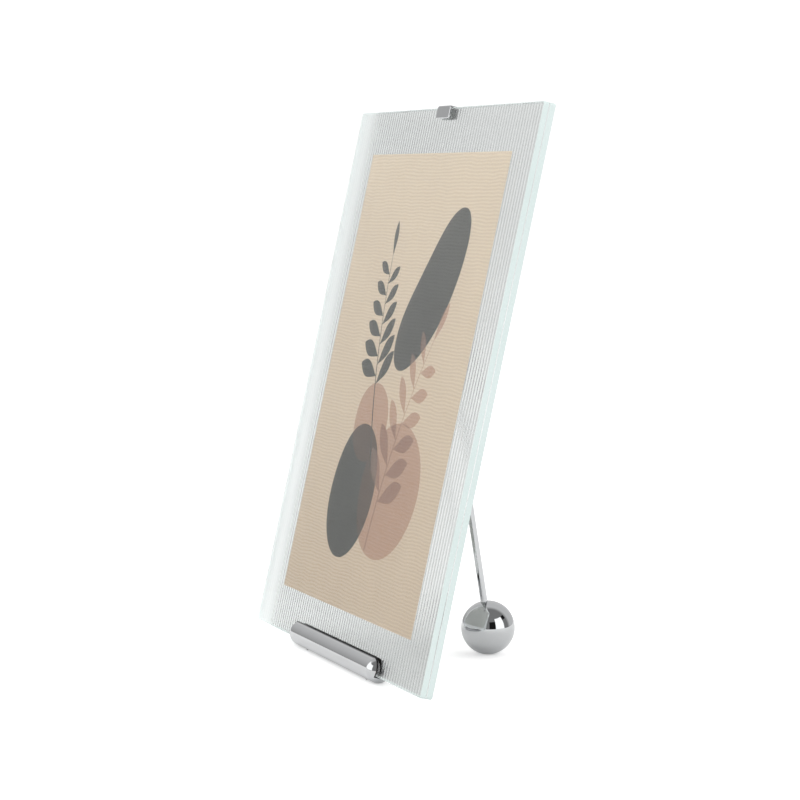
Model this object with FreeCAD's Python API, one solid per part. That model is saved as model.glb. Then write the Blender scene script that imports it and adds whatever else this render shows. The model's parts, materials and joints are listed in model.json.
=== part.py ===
# Tabletop display easel for one flat print, millimetres.
# Two glass panes stand in a slotted base bar and lean back on a hinged leg that ends in a ball.
# World frame: X to the viewer's right, Y to the back, Z up from the table, which is Z = 0.
# Pane frame, used for everything that leans: X as in the world, Y through the glass to the back,
# Z up along the glass, origin at the middle of the front pane's lower front edge.
import FreeCAD, Part
import math
import os

from FreeCAD import Vector

# Glass and print
TILT = 12.6                 # lean of the glass from the vertical, degrees
PANE_WIDTH = 264.0
PANE_HEIGHT = 304.0
PANE_CORNER = 1.5           # corner radius of both panes
PANE_ARRIS = 0.35           # ground-off edge of the outer faces
INNER_ARRIS = 0.15          # ground-off edge of the front pane where the panes meet
FRONT_GLASS = 3.0
PRINT_GAP = 0.35            # room between the panes
REAR_GLASS = 3.35
REED_COUNT = 76
REED_DEPTH = 0.25
PRINT_WIDTH = 203.2         # 8 inches
PRINT_HEIGHT = 254.0        # 10 inches
PRINT_THICK = 0.25
SLIDE_GAP = 0.05            # clearance of flat faces that slide on each other

# Base bar
BAR_RADIUS = 7.0
BAR_LENGTH = 138.0
BAR_AXIS_UP = 2.95          # axis of the bar above the lower edge of the glass
BAR_LINER_WALL = 0.3
BAR_LINER_FLOOR = 0.8
BAR_LINER_RISE = 0.1        # liner beyond the bar along its lips
BAR_LINER_END = 0.6         # liner beyond the bar at its ends
BAR_LINER_BACK = 12.0       # its back wall stops this far short of the ends
PAD_DIAMETER = 4.0
PAD_THICK = 1.5
PAD_PROUD = 0.25            # pads below the lowest line of the bar
PAD_SPACING = 96.0

# Top clip
CLIP_LENGTH = 19.5
CLIP_LIP = 0.9
CLIP_ROOF = 0.75
CLIP_REACH = 6.2            # lips below the upper edge of the glass
CLIP_END_RADIUS = 2.0
CLIP_EDGE = 0.7
CLIP_LINER = 0.2

# Hinge on the back of the rear pane
PIVOT_UP = 206.5            # pivot above the lower edge of the glass, along the glass
PIVOT_OFF = 10.0            # pivot behind the rear pane
BOND_THICK = 0.4
BOND_INSET = 0.5            # bonding layer inside the disc's rim
DISC_DIAMETER = 32.0
DISC_THICK = 2.0
DISC_EDGE = 0.8
CLEVIS_BASE = 2.0
CLEVIS_HEIGHT = 21.0
CLEVIS_CORNER = 2.5
EAR_THICK = 3.0
EAR_RADIUS = 5.0
EAR_SPREAD = 2.5            # ear wider at its foot than at the pivot, each side
SCREW_RADIUS = 1.25
SCREW_HEAD_RADIUS = 2.4
SCREW_HEAD_DEEP = 1.3
SCREW_SHORT = 0.2           # screw end below the clevis floor
SCREW_SPACING = 14.0
EYE_THICK = 6.0
EYE_RADIUS = 4.5
WASHER_THICK = 0.5
WASHER_RADIUS = 4.2
WASHER_GAP = 0.03
PIN_RADIUS = 1.5
PIN_FIT = 0.02              # pin in the ears
PIN_RUN = 0.05              # eye and washers on the pin
PIN_HEAD_RADIUS = 2.6
PIN_HEAD_THICK = 0.9
PIN_TAIL = 2.2              # pin beyond the ear on the retainer's side
RETAINER_THICK = 0.6
RETAINER_RADIUS = 3.0
RETAINER_GROOVE = 1.1       # radius of the pin inside the groove
RETAINER_PLAY = 0.05        # retainer to each side of the groove
RETAINER_MOUTH = 2.0        # opening the retainer snaps over the groove with

# Leg
LEG_LEAN = 9.2              # lean of the deployed leg from the vertical, degrees
ROD_RADIUS = 2.0
NECK_RADIUS = 3.6
NECK_LENGTH = 15.0          # lower end of the neck below the pivot
SOCKET_DEEP = 9.0
HEEL_HEIGHT = 9.0
HEEL_LOW = 1.0              # lower end of the heel above the pivot
HEEL_BACK = 2.0             # heel behind the pivot
HEEL_ROUND = 2.0
HEEL_GAP = 0.05             # open leg's heel to the clevis floor
BALL_RADIUS = 15.0
STUD_RADIUS = 1.5
STUD_LENGTH = 9.0
STUD_SPARE = 0.5            # hole deeper than its stud
SOCKET_GAP = 0.02           # glued and screwed joints

# Derived sizes
STACK = FRONT_GLASS + PRINT_GAP + REAR_GLASS
MID = STACK / 2.0
REED_TOP = FRONT_GLASS + PRINT_GAP
SIN_TILT = math.sin(math.radians(TILT))
COS_TILT = math.cos(math.radians(TILT))
AXIS_Z = PAD_PROUD + BAR_RADIUS
PANE_Z = AXIS_Z - BAR_AXIS_UP * COS_TILT + MID * SIN_TILT
AXIS_Y = BAR_AXIS_UP * SIN_TILT + MID * COS_TILT
PIVOT_N = STACK + PIVOT_OFF
PIVOT_Y = PIVOT_UP * SIN_TILT + PIVOT_N * COS_TILT
PIVOT_Z = PANE_Z + PIVOT_UP * COS_TILT - PIVOT_N * SIN_TILT
LEG_LENGTH = (PIVOT_Z - BALL_RADIUS) / math.cos(math.radians(LEG_LEAN))
BALL_Y = PIVOT_Y + LEG_LENGTH * math.sin(math.radians(LEG_LEAN))
LEG_ANGLE = TILT + LEG_LEAN
EAR_IN = EYE_THICK / 2.0 + WASHER_THICK + 2.0 * WASHER_GAP
EAR_OUT = EAR_IN + EAR_THICK
DISC_N = STACK + BOND_THICK
CLEVIS_N = DISC_N + DISC_THICK
FLOOR_N = CLEVIS_N + CLEVIS_BASE

# The world origin is on the table, under the middle of the object's depth.
FRONT_Y = AXIS_Y - BAR_RADIUS
BACK_Y = BALL_Y + BALL_RADIUS
PANE_Y = -(FRONT_Y + BACK_Y) / 2.0

PANE_PLACE = FreeCAD.Placement(Vector(0, PANE_Y, PANE_Z), FreeCAD.Rotation(Vector(1, 0, 0), -TILT))
LEG_PLACE = PANE_PLACE.multiply(
    FreeCAD.Placement(Vector(0, PIVOT_N, PIVOT_UP), FreeCAD.Rotation(Vector(1, 0, 0), LEG_ANGLE)))

X_AXIS = Vector(1, 0, 0)
Y_AXIS = Vector(0, 1, 0)
Z_AXIS = Vector(0, 0, 1)
TINY = 1e-6                 # tolerance when edges are picked by position


def box(x0, x1, y0, y1, z0, z1):
    """Block between two corners."""
    return Part.makeBox(x1 - x0, y1 - y0, z1 - z0, Vector(x0, y0, z0))


def rod_x(radius, x0, x1, y, z):
    """Cylinder along X."""
    return Part.makeCylinder(radius, x1 - x0, Vector(x0, y, z), X_AXIS)


def placed(shape, place):
    """Move a shape from its building frame to the world."""
    moved = shape.copy()
    moved.Placement = place.multiply(moved.Placement)
    return moved


def edges_along(shape, axis):
    """Straight edges of a shape that run along one axis."""
    chosen = []
    for edge in shape.Edges:
        if isinstance(edge.Curve, (Part.Line, Part.LineSegment)):
            along = edge.tangentAt(edge.FirstParameter).dot(axis)
            if abs(along) > 1.0 - TINY:
                chosen.append(edge)
    return chosen


def capsule_x(radius, length, y, z):
    """Round bar along X with ball ends, centred on X = 0."""
    tip = length / 2.0
    shoulder = tip - radius
    bow = shoulder + radius * math.sqrt(0.5)
    rise = radius * math.sqrt(0.5)
    outline = [
        Part.Arc(Vector(-tip, 0, 0), Vector(-bow, 0, rise), Vector(-shoulder, 0, radius)).toShape(),
        Part.makeLine(Vector(-shoulder, 0, radius), Vector(shoulder, 0, radius)),
        Part.Arc(Vector(shoulder, 0, radius), Vector(bow, 0, rise), Vector(tip, 0, 0)).toShape(),
        Part.makeLine(Vector(tip, 0, 0), Vector(-tip, 0, 0)),
    ]
    body = Part.Face(Part.Wire(outline)).revolve(Vector(0, 0, 0), X_AXIS, 360.0)
    body.translate(Vector(0, y, z))
    return body


def pane_blank(y0, y1):
    """Sheet of glass with rounded corners."""
    half = PANE_WIDTH / 2.0
    sheet = box(-half, half, y0, y1, 0.0, PANE_HEIGHT)
    return sheet.makeFillet(PANE_CORNER, edges_along(sheet, Y_AXIS))


def rim_edges(shape, y):
    """Edges of a sheet's outline on the face at the given depth."""
    flat = [edge for edge in shape.Edges if edge.BoundBox.YLength < TINY]
    return [edge for edge in flat if abs(edge.BoundBox.YMin - y) < TINY]


def front_pane():
    """Clear float glass with ground edges."""
    sheet = pane_blank(0.0, FRONT_GLASS)
    sheet = sheet.makeChamfer(PANE_ARRIS, rim_edges(sheet, 0.0))
    return sheet.makeChamfer(INNER_ARRIS, rim_edges(sheet, FRONT_GLASS))


def reed_profile():
    """Outline of the reeded face: half-round ridges side by side, crests towards the print.
    The outermost ridges run half off the pane, so a crest lies on each side edge."""
    pitch = PANE_WIDTH / REED_COUNT
    half = (PANE_WIDTH + pitch) / 2.0
    valley = REED_TOP + REED_DEPTH
    edges = []
    for index in range(REED_COUNT + 1):
        left = -half + index * pitch
        start = Vector(left, valley, 0)
        crest = Vector(left + pitch / 2.0, REED_TOP, 0)
        end = Vector(left + pitch, valley, 0)
        edges.append(Part.Arc(start, crest, end).toShape())
    corners = [
        Vector(half, valley, 0),
        Vector(half, STACK, 0),
        Vector(-half, STACK, 0),
        Vector(-half, valley, 0),
    ]
    for start, end in zip(corners, corners[1:]):
        edges.append(Part.makeLine(start, end))
    return Part.Face(Part.Wire(edges))


def rear_pane():
    """Reeded glass: the ridges run up the sheet and face the print, the back is flat."""
    blank = pane_blank(REED_TOP, STACK)
    blank = blank.makeChamfer(PANE_ARRIS, rim_edges(blank, STACK))
    return blank.common(reed_profile().extrude(Vector(0, 0, PANE_HEIGHT)))


def art_print():
    """Paper print, loose between the panes and centred on them."""
    back = REED_TOP - SLIDE_GAP
    low = (PANE_HEIGHT - PRINT_HEIGHT) / 2.0
    half = PRINT_WIDTH / 2.0
    return box(-half, half, back - PRINT_THICK, back, low, low + PRINT_HEIGHT)


def bar_slot():
    """Block that cuts the bar open for the glass and its liner."""
    wall = BAR_LINER_WALL + SLIDE_GAP
    top = BAR_AXIS_UP + 2.0 * BAR_RADIUS
    return box(-BAR_LENGTH, BAR_LENGTH, -wall, STACK + wall, -BAR_LINER_FLOOR, top)


def pad_stack(radius, thick):
    """Two discs under the bar, in world coordinates."""
    discs = []
    for side in (-1, 1):
        centre = Vector(side * PAD_SPACING / 2.0, PANE_Y + AXIS_Y, 0.0)
        discs.append(Part.makeCylinder(radius, thick, centre, Z_AXIS))
    return discs


def base_bar():
    """Chromed bar with ball ends, slotted along its top, with two pad recesses underneath."""
    bar = capsule_x(BAR_RADIUS, BAR_LENGTH, MID, BAR_AXIS_UP).cut(bar_slot())
    bar = placed(bar, PANE_PLACE)
    for disc in pad_stack(PAD_DIAMETER / 2.0, PAD_THICK):
        bar = bar.cut(disc)
    return bar


def bar_liner():
    """Silicone channel in the slot, a little proud of the bar, with a shorter back wall."""
    length = BAR_LENGTH + 2.0 * BAR_LINER_END
    envelope = capsule_x(BAR_RADIUS + BAR_LINER_RISE, length, MID, BAR_AXIS_UP)
    whole = envelope.common(bar_slot())
    room = box(-BAR_LENGTH, BAR_LENGTH, -SLIDE_GAP, STACK + SLIDE_GAP, 0.0, PANE_HEIGHT)
    channel = whole.cut(room)
    inner = BAR_LENGTH / 2.0 - BAR_LINER_BACK
    for start, end in ((-BAR_LENGTH, -inner), (inner, BAR_LENGTH)):
        channel = channel.cut(box(start, end, STACK, STACK + BAR_LENGTH, 0.0, PANE_HEIGHT))
    return channel


def clip_block(lip, roof, length, reach):
    """Block over the upper edge of the glass, before its slot is cut."""
    half = length / 2.0
    top = PANE_HEIGHT + roof
    return box(-half, half, -lip, STACK + lip, PANE_HEIGHT - reach, top)


def top_clip():
    """Chromed channel that caps both panes, with rounded ends and softened edges."""
    side = CLIP_LIP + CLIP_LINER + SLIDE_GAP
    block = clip_block(side, CLIP_ROOF + CLIP_LINER, CLIP_LENGTH, CLIP_REACH)
    block = block.makeFillet(CLIP_END_RADIUS, edges_along(block, Y_AXIS))
    block = block.makeFillet(CLIP_EDGE, rim_edges(block, -side) + rim_edges(block, STACK + side))
    wall = CLIP_LINER + SLIDE_GAP
    slot = clip_block(wall, CLIP_LINER, 2.0 * CLIP_LENGTH, 2.0 * CLIP_REACH)
    return block.cut(slot)


def clip_liner():
    """Silicone lining inside the clip, a little short of its ends and lips."""
    length = CLIP_LENGTH - 2.0 * CLIP_END_RADIUS
    wall = CLIP_LINER + SLIDE_GAP
    outer = clip_block(wall, CLIP_LINER, length, CLIP_REACH - CLIP_EDGE)
    inner = clip_block(SLIDE_GAP, 0.0, 2.0 * length, 2.0 * CLIP_REACH)
    return outer.cut(inner)


def disc_y(radius, y0, y1, z):
    """Disc that stands on the back of the glass, its axis through the glass."""
    return Part.makeCylinder(radius, y1 - y0, Vector(0, y0, z), Y_AXIS)


def bond_disc():
    """Clear bonding layer between the rear pane and the hinge disc."""
    return disc_y(DISC_DIAMETER / 2.0 - BOND_INSET, STACK, DISC_N, PIVOT_UP)


def screw_heights():
    """Heights of the two screws, one each side of the pivot."""
    return [PIVOT_UP + side * SCREW_SPACING / 2.0 for side in (-1, 1)]


def countersunk(height, gap, end):
    """Countersunk shape from the glass side, flush with the disc, that reaches to a given depth."""
    base = Vector(0, DISC_N, height)
    head = Part.makeCone(SCREW_HEAD_RADIUS + gap, SCREW_RADIUS + gap, SCREW_HEAD_DEEP, base, Y_AXIS)
    shank = disc_y(SCREW_RADIUS + gap, DISC_N, end, height)
    return head.fuse(shank).removeSplitter()


def hinge_disc():
    """Round plate bonded to the glass, drilled and countersunk for the clevis screws."""
    plate = disc_y(DISC_DIAMETER / 2.0, DISC_N, CLEVIS_N, PIVOT_UP)
    plate = plate.makeFillet(DISC_EDGE, rim_edges(plate, CLEVIS_N))
    for height in screw_heights():
        plate = plate.cut(countersunk(height, SOCKET_GAP, FLOOR_N))
    return plate


def clevis_screws():
    """Two countersunk screws that hold the clevis to the disc."""
    end = FLOOR_N - SCREW_SHORT
    return Part.makeCompound([countersunk(height, 0.0, end) for height in screw_heights()])


def ear(x0, x1):
    """Clevis ear: a tapered cheek with a round end about the pivot."""
    foot = EAR_RADIUS + EAR_SPREAD
    corners = [
        Vector(x0, FLOOR_N, PIVOT_UP - foot),
        Vector(x0, FLOOR_N, PIVOT_UP + foot),
        Vector(x0, PIVOT_N, PIVOT_UP + EAR_RADIUS),
        Vector(x0, PIVOT_N, PIVOT_UP - EAR_RADIUS),
    ]
    cheek = Part.Face(Part.makePolygon(corners + corners[:1])).extrude(Vector(x1 - x0, 0, 0))
    return cheek.fuse(rod_x(EAR_RADIUS, x0, x1, PIVOT_N, PIVOT_UP))


def hinge_clevis():
    """Clevis block: a base with two ears, drilled for the pin and the two screws."""
    half = CLEVIS_HEIGHT / 2.0
    base = box(-EAR_OUT, EAR_OUT, CLEVIS_N, FLOOR_N, PIVOT_UP - half, PIVOT_UP + half)
    base = base.makeFillet(CLEVIS_CORNER, edges_along(base, Y_AXIS))
    block = base.fuse(ear(-EAR_OUT, -EAR_IN)).fuse(ear(EAR_IN, EAR_OUT)).removeSplitter()
    block = block.cut(rod_x(PIN_RADIUS + PIN_FIT, -2.0 * EAR_OUT, 2.0 * EAR_OUT, PIVOT_N, PIVOT_UP))
    for height in screw_heights():
        block = block.cut(countersunk(height, SOCKET_GAP, FLOOR_N))
    return block


def hinge_pin():
    """Headed pin, grooved for the retainer at its other end."""
    tail = EAR_OUT + PIN_TAIL
    pin = rod_x(PIN_RADIUS, -EAR_OUT - PIN_HEAD_THICK, tail, PIVOT_N, PIVOT_UP)
    pin = pin.fuse(rod_x(PIN_HEAD_RADIUS, -EAR_OUT - PIN_HEAD_THICK, -EAR_OUT, PIVOT_N, PIVOT_UP))
    ring = rod_x(2.0 * PIN_RADIUS, EAR_OUT, EAR_OUT + RETAINER_THICK, PIVOT_N, PIVOT_UP)
    ring = ring.cut(rod_x(RETAINER_GROOVE, EAR_OUT, EAR_OUT + RETAINER_THICK, PIVOT_N, PIVOT_UP))
    return pin.cut(ring).removeSplitter()


def pin_retainer():
    """Snap ring in the pin's groove, open on its lower side."""
    x0 = EAR_OUT + RETAINER_PLAY
    x1 = EAR_OUT + RETAINER_THICK - RETAINER_PLAY
    ring = rod_x(RETAINER_RADIUS, x0, x1, PIVOT_N, PIVOT_UP)
    ring = ring.cut(rod_x(RETAINER_GROOVE + SOCKET_GAP, x0, x1, PIVOT_N, PIVOT_UP))
    mouth = RETAINER_MOUTH / 2.0
    low = PIVOT_UP - 2.0 * RETAINER_RADIUS
    return ring.cut(box(x0, x1, PIVOT_N - mouth, PIVOT_N + mouth, low, PIVOT_UP))


def friction_washer(side):
    """Nylon washer between the eye and one ear."""
    x0 = side * (EYE_THICK / 2.0 + WASHER_GAP + WASHER_THICK / 2.0) - WASHER_THICK / 2.0
    ring = rod_x(WASHER_RADIUS, x0, x0 + WASHER_THICK, PIVOT_N, PIVOT_UP)
    return ring.cut(rod_x(PIN_RADIUS + PIN_RUN, x0, x0 + WASHER_THICK, PIVOT_N, PIVOT_UP))


def heel():
    """Stop above the pivot: flat on the clevis floor when the leg is open."""
    half = EYE_THICK / 2.0
    top = PIVOT_UP + HEEL_HEIGHT
    block = box(-half, half, FLOOR_N + HEEL_GAP, PIVOT_N + HEEL_BACK, PIVOT_UP + HEEL_LOW, top)
    crown = [edge for edge in edges_along(block, X_AXIS) if edge.BoundBox.ZMin > PIVOT_UP + HEEL_LOW + TINY]
    return block.makeFillet(HEEL_ROUND, crown)


def leg_knuckle():
    """Hinge eye with its heel stop above and a socketed neck below."""
    half = EYE_THICK / 2.0
    eye = rod_x(EYE_RADIUS, -half, half, 0.0, 0.0)
    neck = Part.makeCylinder(NECK_RADIUS, NECK_LENGTH, Vector(0, 0, -NECK_LENGTH), Z_AXIS)
    waist = box(-half, half, -EYE_RADIUS, EYE_RADIUS, -NECK_LENGTH, EYE_RADIUS)
    neck = neck.common(waist)
    body = placed(eye.fuse(neck), LEG_PLACE).fuse(placed(heel(), PANE_PLACE))
    bore = rod_x(PIN_RADIUS + PIN_RUN, -EYE_THICK, EYE_THICK, 0.0, 0.0)
    top = -NECK_LENGTH + SOCKET_DEEP
    socket = Part.makeCylinder(STUD_RADIUS + SOCKET_GAP, SOCKET_DEEP, Vector(0, 0, top), -Z_AXIS)
    for hole in (bore, socket):
        body = body.cut(placed(hole, LEG_PLACE))
    return body


def leg_rod():
    """Round steel rod with a thinner stud at each end, screwed into knuckle and ball."""
    top = -NECK_LENGTH - SOCKET_GAP
    bottom = -LEG_LENGTH + math.sqrt(BALL_RADIUS ** 2 - ROD_RADIUS ** 2) + SOCKET_GAP
    rod = Part.makeCylinder(ROD_RADIUS, top - bottom, Vector(0, 0, bottom), Z_AXIS)
    stud_low = bottom - STUD_LENGTH
    stud_high = top + SOCKET_DEEP - STUD_SPARE
    stud = Part.makeCylinder(STUD_RADIUS, stud_high - stud_low, Vector(0, 0, stud_low), Z_AXIS)
    return rod.fuse(stud).removeSplitter()


def leg_ball():
    """Solid ball foot with a spot-faced, tapped hole for the rod."""
    centre = Vector(0, 0, -LEG_LENGTH)
    face = -LEG_LENGTH + math.sqrt(BALL_RADIUS ** 2 - ROD_RADIUS ** 2)
    ball = Part.makeSphere(BALL_RADIUS, centre)
    ball = ball.cut(Part.makeCylinder(ROD_RADIUS + SOCKET_GAP, BALL_RADIUS, Vector(0, 0, face), Z_AXIS))
    hole_low = face - STUD_LENGTH - STUD_SPARE
    return ball.cut(Part.makeCylinder(STUD_RADIUS + SOCKET_GAP, BALL_RADIUS, Vector(0, 0, hole_low), Z_AXIS))


def foot_pads():
    """Silicone discs that the bar stands on, left and right."""
    return pad_stack(PAD_DIAMETER / 2.0 - SOCKET_GAP, PAD_THICK - SOCKET_GAP)


def all_nodes():
    """Every node's name and its solid in the world frame."""
    pad_left, pad_right = foot_pads()
    nodes = {
        "base_bar": base_bar(),
        "foot_pad_left": pad_left,
        "foot_pad_right": pad_right,
        "leg_knuckle": leg_knuckle(),
    }
    leaning = {
        "bar_liner": bar_liner(),
        "rear_pane": rear_pane(),
        "front_pane": front_pane(),
        "art_print": art_print(),
        "top_clip": top_clip(),
        "clip_liner": clip_liner(),
        "bond_disc": bond_disc(),
        "hinge_disc": hinge_disc(),
        "clevis_screws": clevis_screws(),
        "hinge_clevis": hinge_clevis(),
        "hinge_pin": hinge_pin(),
        "pin_retainer": pin_retainer(),
        "friction_washer_left": friction_washer(-1),
        "friction_washer_right": friction_washer(1),
    }
    for name, shape in leaning.items():
        nodes[name] = placed(shape, PANE_PLACE)
    nodes["leg_rod"] = placed(leg_rod(), LEG_PLACE)
    nodes["leg_ball"] = placed(leg_ball(), LEG_PLACE)
    return nodes


os.makedirs("parts", exist_ok=True)
for name, shape in all_nodes().items():
    shape.exportStep("parts/" + name + ".step")
    print(name, shape.isValid(), len(shape.Solids), round(shape.Volume, 2))
pivot = LEG_PLACE.Base
pad_y = PANE_Y + AXIS_Y
print("pivot", round(pivot.y, 3), round(pivot.z, 3), "pad row", round(pad_y, 3))
print("pane origin", round(PANE_Y, 3), round(PANE_Z, 3))
print("leg length", round(LEG_LENGTH, 3), "ball", round(PANE_Y + BALL_Y, 3), "leg to glass", LEG_ANGLE)
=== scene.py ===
import json
import math

import bmesh
import bpy
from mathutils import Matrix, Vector
from mathutils.geometry import delaunay_2d_cdt


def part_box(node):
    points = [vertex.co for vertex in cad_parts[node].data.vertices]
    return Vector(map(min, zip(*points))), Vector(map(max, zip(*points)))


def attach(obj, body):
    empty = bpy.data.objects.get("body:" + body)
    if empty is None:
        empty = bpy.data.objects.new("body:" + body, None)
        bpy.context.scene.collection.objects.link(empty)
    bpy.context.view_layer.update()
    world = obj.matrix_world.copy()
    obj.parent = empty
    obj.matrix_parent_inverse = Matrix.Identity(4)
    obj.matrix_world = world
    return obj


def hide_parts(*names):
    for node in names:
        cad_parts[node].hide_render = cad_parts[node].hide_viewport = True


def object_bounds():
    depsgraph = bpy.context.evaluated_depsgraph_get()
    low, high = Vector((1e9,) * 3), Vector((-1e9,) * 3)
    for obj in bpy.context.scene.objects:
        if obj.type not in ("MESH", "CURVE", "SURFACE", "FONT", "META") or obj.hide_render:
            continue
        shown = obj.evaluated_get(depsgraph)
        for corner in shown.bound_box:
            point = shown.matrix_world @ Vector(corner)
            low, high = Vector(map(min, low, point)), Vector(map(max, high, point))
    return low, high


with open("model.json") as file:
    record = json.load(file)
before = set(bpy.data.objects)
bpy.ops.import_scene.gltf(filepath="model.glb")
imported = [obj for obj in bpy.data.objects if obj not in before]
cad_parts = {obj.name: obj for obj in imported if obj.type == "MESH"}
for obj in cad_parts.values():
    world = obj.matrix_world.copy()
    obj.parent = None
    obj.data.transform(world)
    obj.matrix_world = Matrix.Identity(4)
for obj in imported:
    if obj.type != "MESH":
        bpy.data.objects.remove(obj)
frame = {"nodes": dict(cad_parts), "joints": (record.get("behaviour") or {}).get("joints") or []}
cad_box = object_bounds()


# ---------------------------------------------------------------------------
# Camera. A long lens, a little above the table and far round to the right of
# the glass, aimed just below and in front of the middle of the stand.
# ---------------------------------------------------------------------------
VIEW_AZIMUTH = math.radians(69.16)
VIEW_ELEVATION = math.radians(4.61)
VIEW_DISTANCE = 1.4656
AIM_OFFSET = Vector((0.0, -0.0123, -0.0083))
LENS = 121.1

middle = (cad_box[0] + cad_box[1]) / 2
camera_data = bpy.data.cameras.new("studio_camera")
camera_data.lens = LENS
camera_data.sensor_width = 36.0
camera = bpy.data.objects.new("studio_camera", camera_data)
back_of_view = Vector((
    math.sin(VIEW_AZIMUTH) * math.cos(VIEW_ELEVATION),
    -math.cos(VIEW_AZIMUTH) * math.cos(VIEW_ELEVATION),
    math.sin(VIEW_ELEVATION),
))
camera.location = middle + AIM_OFFSET + back_of_view * VIEW_DISTANCE
camera.rotation_mode = "QUATERNION"
camera.rotation_quaternion = (-back_of_view).to_track_quat("-Z", "Y")
camera_data.clip_start = 0.05
camera_data.clip_end = 50.0
bpy.context.scene.collection.objects.link(camera)
bpy.context.scene.camera = camera
bpy.context.scene.view_settings.view_transform = "Standard"


# ---------------------------------------------------------------------------
# Studio. A white cove is what the camera sees and what lights the stand. Polished
# metal mirrors a grey room with lamps and black flags; plain glass mirrors a
# dusky wall with a white card on the left and a bright ceiling.
# ---------------------------------------------------------------------------
COVE_LEVEL = 1.12           # what the camera and matt surfaces find
GLASS_LEVEL = 0.86          # what is seen through the glass
PRINT_LEVEL = 2.30          # what reaches the print through the glass
BEHIND_STAND = (-0.935, 0.356, 0.0)     # level direction that points away from the camera
CARD_SPAN = (math.radians(-200.0), math.radians(-159.97))   # bearings of the white card's two ends
CARD_SLANT = 0.213          # lean of the white card's edge, radians of bearing per unit of height


def new_node(tree, kind, **inputs):
    """Add a shader node and set some of its inputs by name."""
    node = tree.nodes.new(kind)
    for name, value in inputs.items():
        node.inputs[name.replace("_", " ")].default_value = value
    return node


def math_node(tree, operation, first, second=None, third=None):
    """A Math node whose inputs are sockets or numbers; gives its output socket."""
    node = tree.nodes.new("ShaderNodeMath")
    node.operation = operation
    for slot, value in zip(node.inputs, (first, second, third)):
        if value is None:
            continue
        if isinstance(value, (int, float)):
            slot.default_value = value
        else:
            tree.links.new(value, slot)
    return node.outputs[0]


def mix_colour(tree, factor, first, second):
    """Blend two colours, given as sockets or as tuples; gives the result's socket."""
    node = tree.nodes.new("ShaderNodeMix")
    node.data_type = "RGBA"
    tree.links.new(factor, node.inputs[0])
    for slot, value in ((node.inputs[6], first), (node.inputs[7], second)):
        if isinstance(value, tuple):
            slot.default_value = value + (1.0,)
        else:
            tree.links.new(value, slot)
    return node.outputs[2]


def grey(level):
    """Neutral colour of one brightness."""
    return (level, level, level)


def remap(tree, value, low=0.0, high=1.0, to_low=0.0, to_high=1.0):
    """Carry a value from one range to another, held at its ends; gives the socket."""
    node = new_node(tree, "ShaderNodeMapRange", From_Min=low, From_Max=high, To_Min=to_low, To_Max=to_high)
    tree.links.new(value, node.inputs["Value"])
    return node.outputs[0]


def between(tree, value, low, high, soft):
    """Mask that is 1 where a value lies between two limits, with soft edges."""
    rise = remap(tree, value, low - soft, low + soft)
    fall = remap(tree, value, high + soft, high - soft)
    return math_node(tree, "MULTIPLY", rise, fall)


def on_object(tree, *textures):
    """Lay textures out in the piece's own coordinates; gives the coordinates' socket."""
    place = tree.nodes.new("ShaderNodeTexCoord").outputs["Object"]
    for texture in textures:
        tree.links.new(place, texture.inputs["Vector"])
    return place


def metal_room(tree, direction, bearing, height):
    """Colours of the grey room that polished metal mirrors."""
    away = new_node(tree, "ShaderNodeVectorMath")
    away.operation = "DOT_PRODUCT"
    away.inputs[1].default_value = BEHIND_STAND
    tree.links.new(direction, away.inputs[0])
    colour = mix_colour(tree, remap(tree, away.outputs["Value"], 0.05, 0.30), grey(0.26), grey(0.72))
    side_wall = mix_colour(tree, remap(tree, height, 0.0, 0.36), grey(0.40), grey(0.66))
    side = between(tree, bearing, math.radians(-185.0), math.radians(-145.0), 0.05)
    colour = mix_colour(tree, side, colour, side_wall)
    # bearing low and high in degrees from +X towards +Y, height low and high, brightness
    panels = [
        (-16.0, 12.0, 0.00, 0.50, 0.015),
        (50.0, 74.0, 0.48, 0.66, 0.015),
        (12.0, 52.0, 0.00, 0.66, 1.65),
        (-152.0, -80.0, 0.03, 0.64, 1.60),
    ]
    for low, high, bottom, top, level in panels:
        across = between(tree, bearing, math.radians(low), math.radians(high), 0.008)
        up = between(tree, height, bottom, top, 0.008)
        colour = mix_colour(tree, math_node(tree, "MULTIPLY", across, up), colour, grey(level))
    return colour


def glass_room(tree, bearing, height):
    """Colours of the dusky wall, white card and ceiling that plain glass mirrors."""
    colour = mix_colour(tree, remap(tree, height, -0.02, 0.18), grey(0.03), grey(0.36))
    slanted = math_node(tree, "MULTIPLY_ADD", height, CARD_SLANT, bearing)
    card = between(tree, slanted, *CARD_SPAN, 0.0018)
    colour = mix_colour(tree, card, colour, grey(1.05))
    return mix_colour(tree, remap(tree, height, 0.82, 0.85), colour, grey(2.60))


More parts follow.
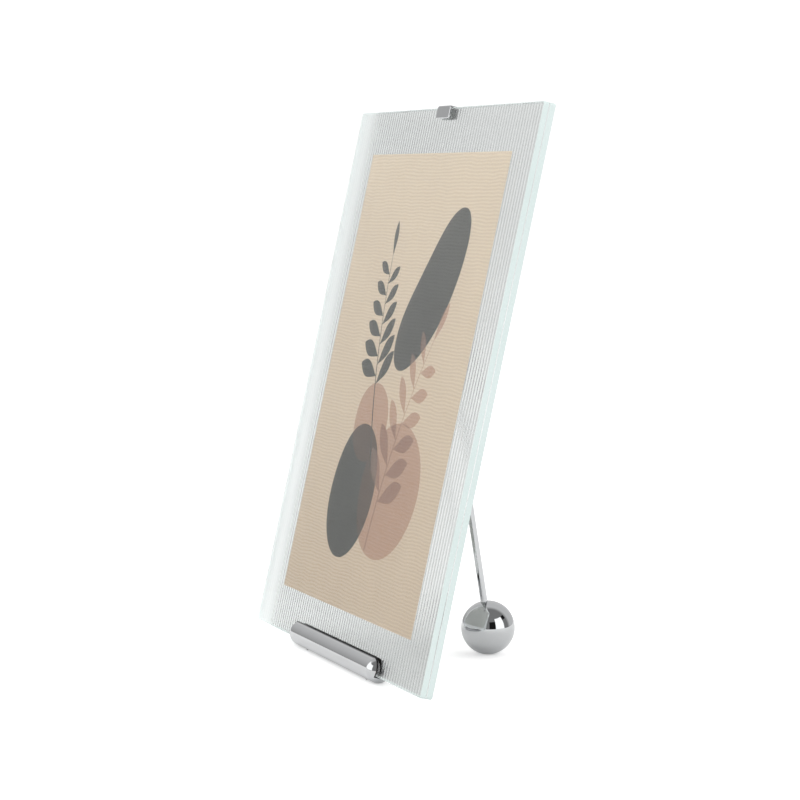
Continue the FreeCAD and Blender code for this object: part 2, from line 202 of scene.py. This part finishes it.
def build_studio():
    """World shader that shows each kind of light path its own room."""
    world = bpy.data.worlds.new("white_cove")
    bpy.context.scene.world = world
    world.use_nodes = True
    tree = world.node_tree
    tree.nodes.clear()
    direction = tree.nodes.new("ShaderNodeTexCoord").outputs["Generated"]
    split = tree.nodes.new("ShaderNodeSeparateXYZ")
    tree.links.new(direction, split.inputs[0])
    height = split.outputs["Z"]
    bearing = math_node(tree, "ARCTAN2", split.outputs["Y"], split.outputs["X"])
    path = tree.nodes.new("ShaderNodeLightPath")
    metal = metal_room(tree, direction, bearing, height)
    seen = mix_colour(tree, path.outputs["Is Singular Ray"], metal, glass_room(tree, bearing, height))
    direct = math_node(tree, "MAXIMUM", path.outputs["Is Camera Ray"], path.outputs["Is Diffuse Ray"])
    seen = mix_colour(tree, direct, seen, grey(COVE_LEVEL))
    lit = math_node(tree, "MINIMUM", path.outputs["Diffuse Depth"], 1.0)
    through = mix_colour(tree, lit, grey(GLASS_LEVEL), grey(PRINT_LEVEL))
    seen = mix_colour(tree, path.outputs["Is Transmission Ray"], seen, through)
    background = tree.nodes.new("ShaderNodeBackground")
    tree.links.new(seen, background.inputs["Color"])
    output = tree.nodes.new("ShaderNodeOutputWorld")
    tree.links.new(background.outputs[0], output.inputs["Surface"])


def new_material(name):
    """Empty node material with its Principled shader; gives material, tree and shader."""
    material = bpy.data.materials.new(name)
    material.use_nodes = True
    tree = material.node_tree
    shader = tree.nodes["Principled BSDF"]
    return material, tree, shader


def build_table():
    """Large matt white sweep that the stand stands on."""
    half = 4.0
    mesh = bpy.data.meshes.new("table")
    corners = [(-half, -half, 0), (half, -half, 0), (half, half, 0), (-half, half, 0)]
    mesh.from_pydata(corners, [], [(0, 1, 2, 3)])
    table = bpy.data.objects.new("table", mesh)
    bpy.context.scene.collection.objects.link(table)
    material, tree, shader = new_material("matt_white_table")
    grain = new_node(tree, "ShaderNodeTexNoise", Scale=60.0, Detail=3.0)
    on_object(tree, grain)
    tree.links.new(mix_colour(tree, grain.outputs[0], grey(0.78), grey(0.82)), shader.inputs["Base Color"])
    path = tree.nodes.new("ShaderNodeLightPath")
    opaque = math_node(tree, "SUBTRACT", 1.0, path.outputs["Is Transmission Ray"])
    mirrored = math_node(tree, "MULTIPLY", path.outputs["Is Singular Ray"], opaque)
    tree.links.new(math_node(tree, "SUBTRACT", 1.0, mirrored), shader.inputs["Alpha"])
    glow = mix_colour(tree, path.outputs["Is Camera Ray"], grey(0.0), grey(0.45))
    shiny = math_node(tree, "SUBTRACT", path.outputs["Is Glossy Ray"], mirrored)
    tree.links.new(mix_colour(tree, shiny, glow, grey(0.13)), shader.inputs["Emission Color"])
    shader.inputs["Emission Strength"].default_value = 1.0
    shader.inputs["Roughness"].default_value = 0.9
    shader.inputs["Specular IOR Level"].default_value = 0.0
    mesh.materials.append(material)


def build_softbox():
    """Wide overhead softbox that gives the stand a faint shadow."""
    light = bpy.data.lights.new("overhead_softbox", "AREA")
    light.shape = "RECTANGLE"
    light.size = 1.6
    light.size_y = 1.2
    light.energy = 4.0
    lamp = bpy.data.objects.new("overhead_softbox", light)
    lamp.location = middle + Vector((0.2, -0.3, 1.5))
    lamp.rotation_mode = "QUATERNION"
    lamp.rotation_quaternion = (middle - lamp.location).to_track_quat("-Z", "Y")
    lamp.visible_glossy = False
    bpy.context.scene.collection.objects.link(lamp)


build_studio()
build_table()
build_softbox()


# ---------------------------------------------------------------------------
# Chromed fittings: the base bar, the top clip, the hinge on the back of the
# glass, and the leg with its ball. Turned or cast metal, polished, then bright
# chrome plate, duller on the hinge.
# ---------------------------------------------------------------------------
MM = 0.001
nodes = frame["nodes"]


def add_group(name, inputs, outputs):
    """Start a shader node group; gives its tree, its input node and its output node."""
    tree = bpy.data.node_groups.new(name, "ShaderNodeTree")
    for label, value in inputs:
        socket = tree.interface.new_socket(name=label, in_out="INPUT", socket_type="NodeSocketFloat")
        socket.default_value = value
    for label in outputs:
        tree.interface.new_socket(name=label, in_out="OUTPUT", socket_type="NodeSocketFloat")
    return tree, tree.nodes.new("NodeGroupInput"), tree.nodes.new("NodeGroupOutput")


def build_handling_marks():
    """Group: hairline scratches and finger smears over a surface, in object space."""
    tree, given, result = add_group(
        "handling_marks",
        [("Size", 100.0), ("Smear", 0.1), ("Polish", 0.05)],
        ["Roughness", "Scratches", "Tone"])
    blotch = new_node(tree, "ShaderNodeTexNoise", Detail=4.0, Roughness=0.6)
    place = on_object(tree, blotch)
    tree.links.new(given.outputs["Size"], blotch.inputs["Scale"])
    smear = remap(tree, blotch.outputs[0], 0.48, 0.72)

    stretch = new_node(tree, "ShaderNodeMapping", Rotation=(0.4, 0.7, 0.2), Scale=(1.0, 14.0, 1.0))
    tree.links.new(place, stretch.inputs["Vector"])
    hair = new_node(tree, "ShaderNodeTexNoise", Detail=2.0, Roughness=0.7)
    tree.links.new(stretch.outputs[0], hair.inputs["Vector"])
    tree.links.new(math_node(tree, "MULTIPLY", given.outputs["Size"], 6.0), hair.inputs["Scale"])
    lines = remap(tree, hair.outputs[0], 0.62, 0.80)

    dulled = math_node(tree, "MULTIPLY", smear, given.outputs["Smear"])
    rough = math_node(tree, "ADD", given.outputs["Polish"], dulled)
    scored = math_node(tree, "MULTIPLY", lines, 0.06)
    tree.links.new(math_node(tree, "ADD", rough, scored), result.inputs["Roughness"])
    tree.links.new(lines, result.inputs["Scratches"])
    tree.links.new(blotch.outputs[0], result.inputs["Tone"])
    return tree


def place_group(tree, group, **inputs):
    """Put a node group into a material and set its inputs."""
    node = tree.nodes.new("ShaderNodeGroup")
    node.node_tree = group
    for name, value in inputs.items():
        node.inputs[name].default_value = value
    return node


def bump(tree, height, strength, distance):
    """Bump node fed by a height socket; gives its normal."""
    node = new_node(tree, "ShaderNodeBump", Strength=strength, Distance=distance)
    tree.links.new(height, node.inputs["Height"])
    return node.outputs[0]


handling_marks = build_handling_marks()


def chrome(name, dark, light, polish, smear):
    """Bright plate: neutral metal with faint smears and hairlines."""
    material, tree, shader = new_material(name)
    marks = place_group(tree, handling_marks, Size=55.0, Smear=smear, Polish=polish)
    tree.links.new(mix_colour(tree, marks.outputs["Tone"], dark, light), shader.inputs["Base Color"])
    tree.links.new(marks.outputs["Roughness"], shader.inputs["Roughness"])
    tree.links.new(bump(tree, marks.outputs["Scratches"], 0.05, 0.02 * MM), shader.inputs["Normal"])
    shader.inputs["Metallic"].default_value = 1.0
    return material


def dress(names, material):
    """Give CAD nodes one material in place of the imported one."""
    for name in names:
        mesh = nodes[name].data
        mesh.materials.clear()
        mesh.materials.append(material)


def soften_edges(names, width):
    """Tiny rounded edge where two faces meet, as polishing leaves it."""
    for name in names:
        bevel = nodes[name].modifiers.new("polished_edge", "BEVEL")
        bevel.width = width
        bevel.segments = 2
        bevel.limit_method = "ANGLE"
        bevel.angle_limit = math.radians(40.0)
        bevel.harden_normals = True


bright_chrome = chrome("bright_chrome", (0.58, 0.59, 0.60), (0.63, 0.64, 0.65), 0.018, 0.05)
hinge_chrome = chrome("hinge_chrome", (0.54, 0.55, 0.56), (0.62, 0.63, 0.64), 0.07, 0.10)
dress(["base_bar", "top_clip", "leg_rod", "leg_ball"], bright_chrome)
dress(["hinge_disc", "hinge_clevis", "leg_knuckle"], hinge_chrome)
soften_edges(["base_bar"], 0.25 * MM)
soften_edges(["hinge_clevis", "leg_knuckle"], 0.3 * MM)


# ---------------------------------------------------------------------------
# Silicone: the channel in the bar's slot and the two foot discs are moulded
# in black rubber, the lining of the clip in milky rubber. Matt, a little lint.
# ---------------------------------------------------------------------------
def build_silicone(name, dark, light, lint_tone):
    """Matt rubber with a fine moulded grain and pale lint."""
    material, tree, shader = new_material(name)
    grain = new_node(tree, "ShaderNodeTexNoise", Scale=2500.0, Detail=2.0)
    lint = new_node(tree, "ShaderNodeTexNoise", Scale=420.0, Detail=5.0, Roughness=0.75)
    on_object(tree, grain, lint)
    clean = mix_colour(tree, grain.outputs[0], dark, light)
    dusty = mix_colour(tree, remap(tree, lint.outputs[0], 0.66, 0.74), clean, lint_tone)
    tree.links.new(dusty, shader.inputs["Base Color"])
    tree.links.new(remap(tree, grain.outputs[0], to_low=0.55, to_high=0.75), shader.inputs["Roughness"])
    tree.links.new(bump(tree, grain.outputs[0], 0.2, 0.05 * MM), shader.inputs["Normal"])
    return material


black_silicone = build_silicone("black_silicone", (0.010, 0.010, 0.011), (0.022, 0.022, 0.023), grey(0.09))
milky_silicone = build_silicone("milky_silicone", (0.66, 0.68, 0.67), (0.76, 0.78, 0.77), grey(0.88))
dress(["bar_liner", "foot_pad_left", "foot_pad_right"], black_silicone)
dress(["clip_liner"], milky_silicone)


# ---------------------------------------------------------------------------
# Hinge hardware: pin, snap ring and countersunk screws in satin stainless
# steel, turned; nylon washers either side of the leg's eye; clear bond disc.
# ---------------------------------------------------------------------------
def build_turned_steel():
    """Satin steel with fine turning rings about the pin's own axis."""
    material, tree, shader = new_material("turned_steel")
    rings = new_node(tree, "ShaderNodeTexWave", Scale=900.0, Distortion=0.6, Detail=2.0)
    rings.bands_direction = "X"
    on_object(tree, rings)
    tone = mix_colour(tree, rings.outputs[1], (0.44, 0.44, 0.45), (0.56, 0.56, 0.57))
    tree.links.new(tone, shader.inputs["Base Color"])
    tree.links.new(remap(tree, rings.outputs[1], to_low=0.24, to_high=0.36), shader.inputs["Roughness"])
    tree.links.new(bump(tree, rings.outputs[1], 0.15, 0.02 * MM), shader.inputs["Normal"])
    shader.inputs["Metallic"].default_value = 1.0
    return material


def build_nylon():
    """Natural nylon: milky, satin, with faint flow marks."""
    material, tree, shader = new_material("natural_nylon")
    flow = new_node(tree, "ShaderNodeTexNoise", Scale=500.0, Detail=3.0, Distortion=1.5)
    on_object(tree, flow)
    tone = mix_colour(tree, flow.outputs[0], (0.74, 0.72, 0.66), (0.84, 0.83, 0.78))
    tree.links.new(tone, shader.inputs["Base Color"])
    tree.links.new(remap(tree, flow.outputs[0], to_low=0.35, to_high=0.5), shader.inputs["Roughness"])
    return material


def build_bond():
    """Cured clear adhesive: milky film with small trapped bubbles."""
    material, tree, shader = new_material("cured_bond")
    bubbles = new_node(tree, "ShaderNodeTexVoronoi", Scale=900.0)
    on_object(tree, bubbles)
    dots = remap(tree, bubbles.outputs["Distance"], 0.1, 0.25)
    tone = mix_colour(tree, dots, (0.93, 0.95, 0.95), (0.78, 0.82, 0.82))
    tree.links.new(tone, shader.inputs["Base Color"])
    tree.links.new(remap(tree, dots, to_low=0.15, to_high=0.3), shader.inputs["Roughness"])
    return material


dress(["hinge_pin", "pin_retainer", "clevis_screws"], build_turned_steel())
dress(["friction_washer_left", "friction_washer_right"], build_nylon())
dress(["bond_disc"], build_bond())


# ---------------------------------------------------------------------------
# Glass. A clear float pane in front and a reeded pane behind, its ridges
# towards the print. Cut, ground and polished all round, so the edges are
# smooth but a little milky, with the blue-green of glass seen edge on.
# The reed valleys carry painted shade, and the rim glows with painted light from inside.
# ---------------------------------------------------------------------------
glass_up = Vector(next(joint["axis"] for joint in frame["joints"] if joint["name"] == "front_glass_lift"))
glass_back = Vector((0.0, glass_up.z, -glass_up.y))
REED_COUNT = 76
REED_PITCH = (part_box("rear_pane")[1].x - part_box("rear_pane")[0].x) / REED_COUNT
REED_SHADE = (0.35, -0.95)      # height of the ridge wave where the painted shade of a valley starts and is full
FROST_ENDS = (-0.116, -0.094)   # x where the frosting of the left edge starts to clear and is gone
FROST_ROUGHNESS = 0.32
CLEAR_ROUGHNESS = 0.06
VALLEY_ROUGHNESS = 0.06         # added where the painted valley shade is darkest
TINT_DRIFT = 0.98               # how far the tint of a pane may fall over the sheet
FLOAT_BEND = 1.5
REED_BEND = 1.16                # low, so that the ridges stay lines at a flat viewing angle
SQUARE_ON = 0.8                 # a facet turned this far towards a side belongs to that side


def build_glass(name, tint, bend):
    """Clear polished glass; the tint drifts a little over the sheet."""
    material, tree, shader = new_material(name)
    marks = place_group(tree, handling_marks, Size=14.0)
    faint = tuple(channel * TINT_DRIFT for channel in tint)
    tree.links.new(mix_colour(tree, marks.outputs["Tone"], tint, faint), shader.inputs["Base Color"])
    shader.inputs["Roughness"].default_value = 0.0
    shader.inputs["IOR"].default_value = bend
    shader.inputs["Transmission Weight"].default_value = 1.0
    return material


def build_reeds(bend):
    """Reeded face: each valley is a line of painted shade; by the left edge the painted shade fades and the
    face is frosted.
    """
    material, tree, shader = new_material("reeded_glass")
    split = tree.nodes.new("ShaderNodeSeparateXYZ")
    tree.links.new(on_object(tree), split.inputs[0])
    wave = math_node(tree, "COSINE", math_node(tree, "MULTIPLY", split.outputs["X"], math.tau / REED_PITCH))
    # painted shade: a mask of the reed valleys, which darkens the glass colour below
    painted_valley_shade = remap(tree, wave, *REED_SHADE)
    clear = remap(tree, split.outputs["X"], *FROST_ENDS)
    marks = place_group(tree, handling_marks, Size=30.0)
    crest = mix_colour(tree, marks.outputs["Tone"], (0.90, 0.915, 0.91), (0.86, 0.875, 0.87))
    painted_shade_amount = math_node(tree, "MULTIPLY", painted_valley_shade, clear)
    # the valleys' painted shade pulls the glass colour towards (0.58, 0.60, 0.595)
    tree.links.new(mix_colour(tree, painted_shade_amount, crest, (0.58, 0.60, 0.595)), shader.inputs["Base Color"])
    frosted = math_node(tree, "MULTIPLY_ADD", clear, CLEAR_ROUGHNESS - FROST_ROUGHNESS, FROST_ROUGHNESS)
    rough = math_node(tree, "MULTIPLY_ADD", painted_valley_shade, VALLEY_ROUGHNESS, frosted)
    tree.links.new(rough, shader.inputs["Roughness"])
    shader.inputs["IOR"].default_value = bend
    shader.inputs["Transmission Weight"].default_value = 1.0
    return material


def build_glass_edge():
    """Ground and polished edge: pale blue-green, milky, with fine grinding lines; seen from inside the pane
    it glows with painted light.
    """
    material, tree, shader = new_material("ground_glass_edge")
    grind = new_node(tree, "ShaderNodeTexNoise", Scale=900.0, Detail=3.0, Roughness=0.6)
    drift = new_node(tree, "ShaderNodeTexNoise", Scale=18.0, Detail=2.0)
    on_object(tree, grind, drift)
    tone = mix_colour(tree, drift.outputs[0], (0.64, 0.75, 0.73), (0.74, 0.82, 0.81))
    tree.links.new(tone, shader.inputs["Base Color"])
    # painted light: faces of the rim seen from inside the pane glow grey, standing in for light let in
    # through the ground edge
    side = tree.nodes.new("ShaderNodeNewGeometry")
    painted_inner_glow = mix_colour(tree, side.outputs["Backfacing"], grey(0.0), (0.34, 0.33, 0.33))
    tree.links.new(painted_inner_glow, shader.inputs["Emission Color"])
    shader.inputs["Emission Strength"].default_value = 1.0
    tree.links.new(remap(tree, grind.outputs[0], to_low=0.18, to_high=0.34), shader.inputs["Roughness"])
    tree.links.new(bump(tree, grind.outputs[0], 0.12, 0.03 * MM), shader.inputs["Normal"])
    shader.inputs["IOR"].default_value = FLOAT_BEND
    return material


def glaze(name, front, back, edge):
    """One material on each face of a pane and one on its rim."""
    mesh = nodes[name].data
    mesh.materials.clear()
    for material in (front, back, edge):
        mesh.materials.append(material)
    for polygon in mesh.polygons:
        facing = polygon.normal.dot(glass_back)
        if facing < -SQUARE_ON:
            polygon.material_index = 0
        elif facing > SQUARE_ON:
            polygon.material_index = 1
        else:
            polygon.material_index = 2


glass_edge = build_glass_edge()
clear_glass = build_glass("clear_glass", (0.985, 0.995, 0.992), FLOAT_BEND)
reeds = build_reeds(REED_BEND)
reed_back = build_glass("reeded_glass_back", (0.98, 0.992, 0.988), REED_BEND)
glaze("front_pane", clear_glass, clear_glass, glass_edge)
glaze("rear_pane", reeds, reed_back, glass_edge)


# ---------------------------------------------------------------------------
# Print. A sheet of heavy cream paper with laid lines, screen printed with smooth
# stones and leaf sprigs in charcoal, rose and their overprints. One flat mesh:
# each patch of ink is a face region of the sheet, so edges stay crisp.
# ---------------------------------------------------------------------------
WAIST_SIDES = (0.5, 0.15)   # how much of a stone's waist its left side and its right side take
LEAF_BELLY = 1.35           # above 1 the leaf is widest nearer its tip
LEAF_ROUNDNESS = 0.85
STALK_WIDTHS = (1.5, 0.5)   # at its foot and at its tip
LAST_PAIR = 0.96            # how far along the stem the pairs of leaves may reach
PAIR_STAGGER = 0.02         # half the gap along the stem between the leaves of a pair
LEAF_SHRINK = 0.45          # how much smaller the leaves get towards the tip
TIP_LEAF = (0.75, 0.6)      # length and width of the leaf at the tip, against a full leaf


def sheet_frame(node):
    """Centre of a leaning sheet's front face, and its width, height and thickness."""
    low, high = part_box(node)
    size = high - low
    lean = glass_up.z ** 2 - glass_up.y ** 2
    height = (size.z * glass_up.z - size.y * glass_up.y) / lean
    thick = (size.y * glass_up.z - size.z * glass_up.y) / lean
    foot = Vector(((low.x + high.x) / 2, low.y, low.z + thick * glass_up.y))
    return foot + glass_up * height / 2, size.x, height, thick


def turned(outline, x, y, turn):
    """Rotate an outline by an angle in degrees and move it to a point."""
    c = math.cos(math.radians(turn))
    s = math.sin(math.radians(turn))
    return [(x + c * u - s * v, y + s * u + c * v) for u, v in outline]


def pebble(x, y, wide, tall, turn, waist, points=96):
    """Smooth stone outline: an ellipse, turned, with its sides drawn in by waist."""
    outline = []
    for index in range(points):
        angle = math.tau * index / points
        across = math.cos(angle) * wide
        along = math.sin(angle) * tall
        share = WAIST_SIDES[0] if across < 0 else WAIST_SIDES[1]
        across += waist * wide * (math.cos(math.pi * along / tall) + 1.0) * share
        outline.append((across, along))
    return turned(outline, x, y, turn)


def leaf(x, y, length, width, turn, points=18):
    """Leaf that grows from a point: full near its tip, narrow at its stalk."""
    edge = []
    for index in range(points + 1):
        along = index / points
        swell = math.sin(math.pi * along ** LEAF_BELLY) ** LEAF_ROUNDNESS
        edge.append((width / 2 * swell, length * along))
    mirrored = [(-u, v) for u, v in reversed(edge[1:-1])]
    return turned(edge + mirrored, x, y, turn)


def stem_point(stem, along):
    """Point and heading in degrees on a quadratic curve through its three handles."""
    (x0, y0), (x1, y1), (x2, y2) = stem
    back = 1.0 - along
    x = back * back * x0 + 2 * back * along * x1 + along * along * x2
    y = back * back * y0 + 2 * back * along * y1 + along * along * y2
    dx = 2 * back * (x1 - x0) + 2 * along * (x2 - x1)
    dy = 2 * back * (y1 - y0) + 2 * along * (y2 - y1)
    return x, y, math.degrees(math.atan2(-dx, dy))


def stalk(stem, base, tip, points=28):
    """Outline of the stem itself, tapering from base to tip width."""
    left = []
    right = []
    for index in range(points + 1):
        along = index / points
        x, y, heading = stem_point(stem, along)
        half = (base + (tip - base) * along) / 2
        nx = math.cos(math.radians(heading)) * half
        ny = math.sin(math.radians(heading)) * half
        left.append((x - nx, y - ny))
        right.append((x + nx, y + ny))
    return right + left[::-1]


def sprig(stem, pairs, start, length, width, spread):
    """A stem with pairs of leaves that shorten towards its tip, and one leaf at the tip."""
    shapes = [stalk(stem, *STALK_WIDTHS)]
    for index in range(pairs):
        along = start + (LAST_PAIR - start) * index / pairs
        shrink = 1.0 - LEAF_SHRINK * index / pairs
        for side in (-1, 1):
            x, y, heading = stem_point(stem, along + PAIR_STAGGER * (side + 1))
            shapes.append(leaf(x, y, length * shrink, width * shrink, heading + side * spread))
    x, y, heading = stem_point(stem, 0.99)
    shapes.append(leaf(x, y, length * TIP_LEAF[0], width * TIP_LEAF[1], heading))
    return shapes


# in millimetres from the middle of the sheet, and degrees
PRINTED_SHAPES = {
    "charcoal_stone": [
        pebble(32.0, 52.0, 25.0, 53.0, -36.0, 0.22),
        pebble(-25.0, -63.0, 33.0, 38.0, -14.0, 0.05),
    ],
    "rose_stone": [
        pebble(28.0, -58.0, 43.0, 37.0, 10.0, 0.05),
        pebble(-18.0, -24.0, 25.0, 22.0, 0.0, 0.05),
    ],
    "charcoal_leaf": sprig([(-4.0, -48.0), (-32.0, 6.0), (-36.0, 70.0)], 6, 0.40, 27.0, 9.5, 60.0),
    "rose_leaf": sprig([(12.0, -92.0), (18.0, -30.0), (50.0, 26.0)], 6, 0.22, 33.0, 11.0, 58.0),
}
# ink name, darkest tone, lightest tone; painted shade by height and the laid lines pick the tone between
# them
INKS = {
    "cream_paper": ((0.56, 0.42, 0.30), (0.91, 0.77, 0.585)),
    "charcoal_ink": ((0.006, 0.007, 0.003), (0.100, 0.104, 0.090)),
    "rose_ink": ((0.45, 0.27, 0.175), (0.62, 0.40, 0.285)),
    "umber_overprint": ((0.055, 0.030, 0.018), (0.155, 0.105, 0.075)),
    "deep_rose_overprint": ((0.30, 0.16, 0.11), (0.37, 0.21, 0.15)),
    "rose_over_charcoal": ((0.18, 0.115, 0.085), (0.24, 0.155, 0.12)),
    "paper_back": ((0.58, 0.58, 0.56), (0.70, 0.70, 0.67)),
}
INK_NAMES = list(INKS)


def build_laid_paper():
    """Group: wavy laid lines across the sheet, soft mottling and fibres, and painted shade that darkens the
    sheet towards its foot.
    """
    tree, _, result = add_group("laid_paper", [], ["Tone", "Fibre", "Relief"])
    lines = new_node(
        tree, "ShaderNodeTexWave", Scale=170.0, Distortion=6.0, Detail=2.0, Detail_Scale=0.30,
        Detail_Roughness=0.5)
    lines.bands_direction = "Z"
    fibre = new_node(tree, "ShaderNodeTexNoise", Scale=1400.0, Detail=4.0, Roughness=0.7)
    cloud = new_node(tree, "ShaderNodeTexNoise", Scale=24.0, Detail=4.0, Roughness=0.6)
    place = on_object(tree, lines, fibre, cloud)
    relief = math_node(tree, "MULTIPLY_ADD", fibre.outputs[0], 0.5, lines.outputs[1])
    split = tree.nodes.new("ShaderNodeSeparateXYZ")
    tree.links.new(place, split.inputs[0])
    # painted shade: the sheet is darker near the table and lighter higher up, by its height
    painted_light_by_height = remap(tree, split.outputs["Z"], 0.02, 0.28, to_high=0.35)
    tone = math_node(tree, "MULTIPLY_ADD", lines.outputs[1], 0.30, painted_light_by_height)
    tone = math_node(tree, "MULTIPLY_ADD", cloud.outputs[0], 0.20, tone)
    tree.links.new(math_node(tree, "MULTIPLY_ADD", fibre.outputs[0], 0.15, tone), result.inputs["Tone"])
    tree.links.new(fibre.outputs[0], result.inputs["Fibre"])
    tree.links.new(relief, result.inputs["Relief"])
    return tree


laid_paper = build_laid_paper()


def printing_ink(name, dark, light):
    """Flat screen ink on laid paper: the laid lines and the fibres show through, and painted shade darkens
    it towards the foot of the sheet.
    """
    material, tree, shader = new_material(name)
    weave = place_group(tree, laid_paper)
    tree.links.new(mix_colour(tree, weave.outputs["Tone"], dark, light), shader.inputs["Base Color"])
    rough = remap(tree, weave.outputs["Fibre"], to_low=0.62, to_high=0.8)
    tree.links.new(rough, shader.inputs["Roughness"])
    tree.links.new(bump(tree, weave.outputs["Relief"], 0.5, 0.15 * MM), shader.inputs["Normal"])
    shader.inputs["Specular IOR Level"].default_value = 0.08
    return material


def ink_of(kinds):
    """Which ink shows where these kinds of shape overlap."""
    if "rose_leaf" in kinds:
        if "charcoal_stone" in kinds:
            return "rose_over_charcoal"
        return "deep_rose_overprint" if "rose_stone" in kinds else "rose_ink"
    if "charcoal_leaf" in kinds:
        return "charcoal_ink"
    if "charcoal_stone" in kinds:
        return "umber_overprint" if "rose_stone" in kinds else "charcoal_ink"
    return "rose_ink" if "rose_stone" in kinds else "cream_paper"


def ink_regions(width, height):
    """Cut the sheet along every outline; gives points, faces and the ink of each face."""
    half_wide, half_high = width / 2, height / 2
    sheet_corners = [
        (-half_wide, -half_high), (half_wide, -half_high), (half_wide, half_high), (-half_wide, half_high)]
    outlines = [("sheet", sheet_corners)]
    for kind, shapes in PRINTED_SHAPES.items():
        for shape in shapes:
            outlines.append((kind, [(u * MM, v * MM) for u, v in shape]))
    points = []
    loops = []
    for _, outline in outlines:
        loops.append(list(range(len(points), len(points) + len(outline))))
        points.extend(Vector(point) for point in outline)
    inside_only, weld = 1, 1e-7
    flat, _, faces, _, _, sources = delaunay_2d_cdt(points, [], loops, inside_only, weld)
    inks = [ink_of({outlines[index][0] for index in source}) for source in sources]
    return flat, faces, inks


def fix_face_order(sheet):
    """List the faces by their points, because an extrusion lists its side faces in any order."""
    sheet.verts.index_update()
    count = len(sheet.verts)

    def rank(face):
        points = sorted(vert.index for vert in face.verts)
        return float(sum(point * count ** place for place, point in enumerate(points)))

    sheet.faces.sort(key=rank)


def build_print():
    """Printed sheet: face regions on the front, plain paper on the back and edges."""
    centre, width, height, thick = sheet_frame("art_print")
    flat, faces, inks = ink_regions(width, height)
    sheet = bmesh.new()
    front = [sheet.verts.new(centre + Vector((point.x, 0, 0)) + glass_up * point.y) for point in flat]
    for face, ink in zip(faces, inks):
        patch = sheet.faces.new([front[index] for index in face])
        patch.material_index = INK_NAMES.index(ink)
    bmesh.ops.recalc_face_normals(sheet, faces=sheet.faces)
    rim = [edge for edge in sheet.edges if edge.is_boundary]
    sides = bmesh.ops.extrude_edge_only(sheet, edges=rim)["geom"]
    moved = [item for item in sides if isinstance(item, bmesh.types.BMVert)]
    bmesh.ops.translate(sheet, verts=moved, vec=glass_back * thick)
    back_rim = [edge for edge in sheet.edges if edge.is_boundary]
    closing = bmesh.ops.contextual_create(sheet, geom=back_rim)["faces"]
    for face in closing:
        face.material_index = INK_NAMES.index("paper_back")
    bmesh.ops.recalc_face_normals(sheet, faces=sheet.faces)
    fix_face_order(sheet)
    mesh = bpy.data.meshes.new("art_print_sheet")
    sheet.to_mesh(mesh)
    sheet.free()
    for name, (dark, light) in INKS.items():
        mesh.materials.append(printing_ink(name, dark, light))
    printed = bpy.data.objects.new("printed_sheet", mesh)
    bpy.context.scene.collection.objects.link(printed)
    return printed


printed_sheet = build_print()
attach(printed_sheet, "print")
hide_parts("art_print")
